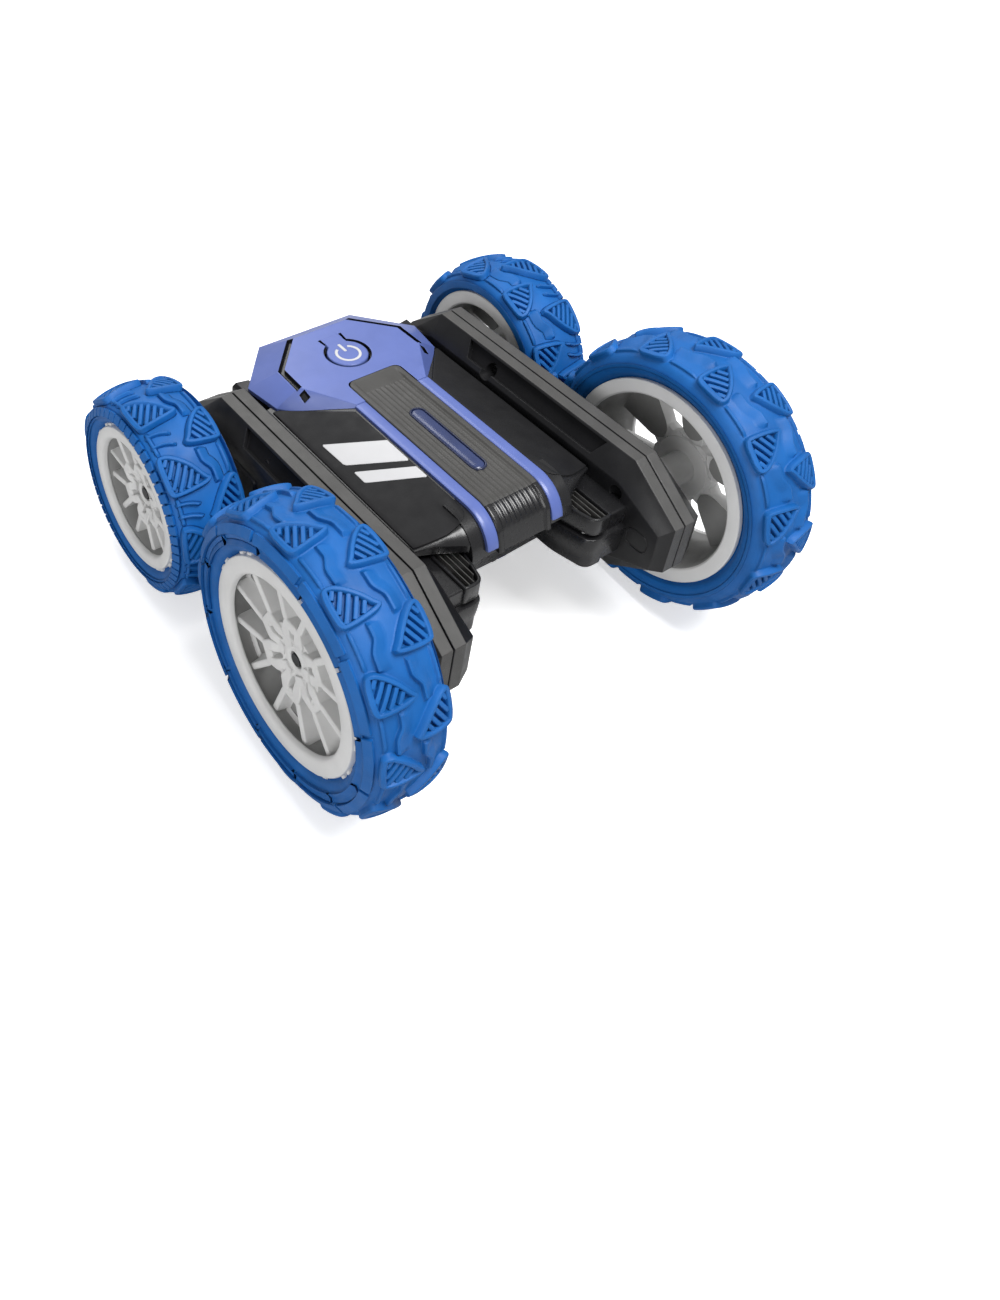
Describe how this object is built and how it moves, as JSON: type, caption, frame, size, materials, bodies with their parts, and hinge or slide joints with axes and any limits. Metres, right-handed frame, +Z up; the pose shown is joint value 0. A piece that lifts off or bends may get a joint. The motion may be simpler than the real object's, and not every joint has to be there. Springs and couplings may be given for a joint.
{
  "type": "rc stunt car",
  "caption": "Double-sided toy stunt car with a flat body between two geared wheel arms, large front wheels and small rear wheels.",
  "frame": {"origin": "on the ground at the centre of the footprint, with all four tyres touching the ground", "axes": "+Z up, -Y towards the end with the large wheels, X along the wheel axles with the right arm on +X"},
  "size_m": [0.1536, 0.1528, 0.086],
  "materials": {
    "black_plastic": "fine satin grain",
    "blue_trim": "satin gloss",
    "dark_grey_plastic": "ribbed satin",
    "blue_lens": "smoked translucent",
    "blue_button": "satin gloss",
    "grey_rim": "satin",
    "blue_rubber": "matte",
    "steel": "plain",
    "bronze_bush": "sintered",
    "white_nylon": "satin",
    "brass_pinion": "machined",
    "motor_can": "plated",
    "green_board": "solder mask",
    "lamp_clear": "clear",
    "battery_sleeve": "shrink sleeve",
    "speaker_black": "paper cone",
    "wire_red": "insulation",
    "wire_black": "insulation",
    "socket_black": "satin"
  },
  "bodies": {
    "car_body": {"antenna": "wire_black", "arm_screws": "steel", "axle_bushes": "bronze_bush", "battery": "battery_sleeve", "battery_door": "dark_grey_plastic", "body_bottom_shell": "black_plastic", "body_screws": "steel", "body_top_shell": "black_plastic", "bottom_lens": "blue_lens", "bottom_trim": "blue_trim", "case_screws": "steel", "charge_socket": "socket_black", "circuit_board": "green_board", "gear_pins": "steel", "inner_case_left": "black_plastic", "inner_case_right": "black_plastic", "lamps": "lamp_clear", "motor_leads": "wire_red", "motor_left": "motor_can", "motor_right": "motor_can", "outer_case_left": "black_plastic", "outer_case_right": "black_plastic", "speaker": "speaker_black", "spine_cover": "dark_grey_plastic", "top_lens": "blue_lens", "top_trim": "blue_trim"},
    "front_wheel_right": {"front_axle_right": "steel", "front_axle_gear_right": "white_nylon", "front_rim_right": "grey_rim", "front_tyre_right": "blue_rubber", "front_wheel_screw_right": "steel"},
    "rear_wheel_right": {"rear_axle_right": "steel", "rear_axle_gear_right": "white_nylon", "rear_rim_right": "grey_rim", "rear_tyre_right": "blue_rubber", "rear_wheel_screw_right": "steel"},
    "idler_1_right": {"idler_gear_1_right": "white_nylon"},
    "idler_2_right": {"idler_gear_2_right": "white_nylon"},
    "idler_3_right": {"idler_gear_3_right": "white_nylon"},
    "reduction_right": {"reduction_gear_right": "white_nylon"},
    "motor_drive_right": {"motor_pinion_right": "brass_pinion", "motor_shaft_right": "steel"},
    "front_wheel_left": {"front_axle_left": "steel", "front_axle_gear_left": "white_nylon", "front_rim_left": "grey_rim", "front_tyre_left": "blue_rubber", "front_wheel_screw_left": "steel"},
    "rear_wheel_left": {"rear_axle_left": "steel", "rear_axle_gear_left": "white_nylon", "rear_rim_left": "grey_rim", "rear_tyre_left": "blue_rubber", "rear_wheel_screw_left": "steel"},
    "idler_1_left": {"idler_gear_1_left": "white_nylon"},
    "idler_2_left": {"idler_gear_2_left": "white_nylon"},
    "idler_3_left": {"idler_gear_3_left": "white_nylon"},
    "reduction_left": {"reduction_gear_left": "white_nylon"},
    "motor_drive_left": {"motor_pinion_left": "brass_pinion", "motor_shaft_left": "steel"},
    "power_button": {"power_button": "blue_button"}
  },
  "joints": [
    {"name": "front_wheel_right_spin", "type": "hinge", "parent": "car_body", "child": "front_wheel_right", "pos_m": [0, -0.03338, 0.043], "axis": [1, 0, 0], "continuous": true},
    {"name": "rear_wheel_right_spin", "type": "hinge", "parent": "car_body", "child": "rear_wheel_right", "pos_m": [0, 0.04413, 0.03225], "axis": [1, 0, 0], "continuous": true},
    {"name": "idler_1_right_spin", "type": "hinge", "parent": "car_body", "child": "idler_1_right", "pos_m": [0, -0.01555, 0.04053], "axis": [1, 0, 0], "continuous": true},
    {"name": "idler_2_right_spin", "type": "hinge", "parent": "car_body", "child": "idler_2_right", "pos_m": [0, 0.00624, 0.0375], "axis": [1, 0, 0], "continuous": true},
    {"name": "idler_3_right_spin", "type": "hinge", "parent": "car_body", "child": "idler_3_right", "pos_m": [0, 0.02803, 0.03448], "axis": [1, 0, 0], "continuous": true},
    {"name": "reduction_right_spin", "type": "hinge", "parent": "car_body", "child": "reduction_right", "pos_m": [0, -0.04279, 0.04431], "axis": [1, 0, 0], "continuous": true},
    {"name": "motor_drive_right_spin", "type": "hinge", "parent": "car_body", "child": "motor_drive_right", "pos_m": [0, -0.03338, 0.043], "axis": [1, 0, 0], "continuous": true},
    {"name": "front_wheel_left_spin", "type": "hinge", "parent": "car_body", "child": "front_wheel_left", "pos_m": [0, -0.03338, 0.043], "axis": [1, 0, 0], "continuous": true},
    {"name": "rear_wheel_left_spin", "type": "hinge", "parent": "car_body", "child": "rear_wheel_left", "pos_m": [0, 0.04413, 0.03225], "axis": [1, 0, 0], "continuous": true},
    {"name": "idler_1_left_spin", "type": "hinge", "parent": "car_body", "child": "idler_1_left", "pos_m": [0, -0.01555, 0.04053], "axis": [1, 0, 0], "continuous": true},
    {"name": "idler_2_left_spin", "type": "hinge", "parent": "car_body", "child": "idler_2_left", "pos_m": [0, 0.00624, 0.0375], "axis": [1, 0, 0], "continuous": true},
    {"name": "idler_3_left_spin", "type": "hinge", "parent": "car_body", "child": "idler_3_left", "pos_m": [0, 0.02803, 0.03448], "axis": [1, 0, 0], "continuous": true},
    {"name": "reduction_left_spin", "type": "hinge", "parent": "car_body", "child": "reduction_left", "pos_m": [0, -0.04279, 0.04431], "axis": [1, 0, 0], "continuous": true},
    {"name": "motor_drive_left_spin", "type": "hinge", "parent": "car_body", "child": "motor_drive_left", "pos_m": [0, -0.03338, 0.043], "axis": [1, 0, 0], "continuous": true},
    {"name": "power_button_press", "type": "slide", "parent": "car_body", "child": "power_button", "axis": [0, -0.0886, -0.9961], "range_m": [0, 0.0008], "stiffness_N_per_m": 400, "springref_m": -0.0005}
  ],
  "couplings": [
    {"joint": "rear_wheel_right_spin", "follows": "front_wheel_right_spin", "ratio": 1.3333},
    {"joint": "idler_1_right_spin", "follows": "front_wheel_right_spin", "ratio": -0.63636},
    {"joint": "idler_2_right_spin", "follows": "front_wheel_right_spin", "ratio": 0.63636},
    {"joint": "idler_3_right_spin", "follows": "front_wheel_right_spin", "ratio": -0.63636},
    {"joint": "reduction_right_spin", "follows": "front_wheel_right_spin", "ratio": -2.8},
    {"joint": "motor_drive_right_spin", "follows": "front_wheel_right_spin", "ratio": 10.5},
    {"joint": "rear_wheel_left_spin", "follows": "front_wheel_left_spin", "ratio": 1.3333},
    {"joint": "idler_1_left_spin", "follows": "front_wheel_left_spin", "ratio": -0.63636},
    {"joint": "idler_2_left_spin", "follows": "front_wheel_left_spin", "ratio": 0.63636},
    {"joint": "idler_3_left_spin", "follows": "front_wheel_left_spin", "ratio": -0.63636},
    {"joint": "reduction_left_spin", "follows": "front_wheel_left_spin", "ratio": -2.8},
    {"joint": "motor_drive_left_spin", "follows": "front_wheel_left_spin", "ratio": 10.5}
  ]
}
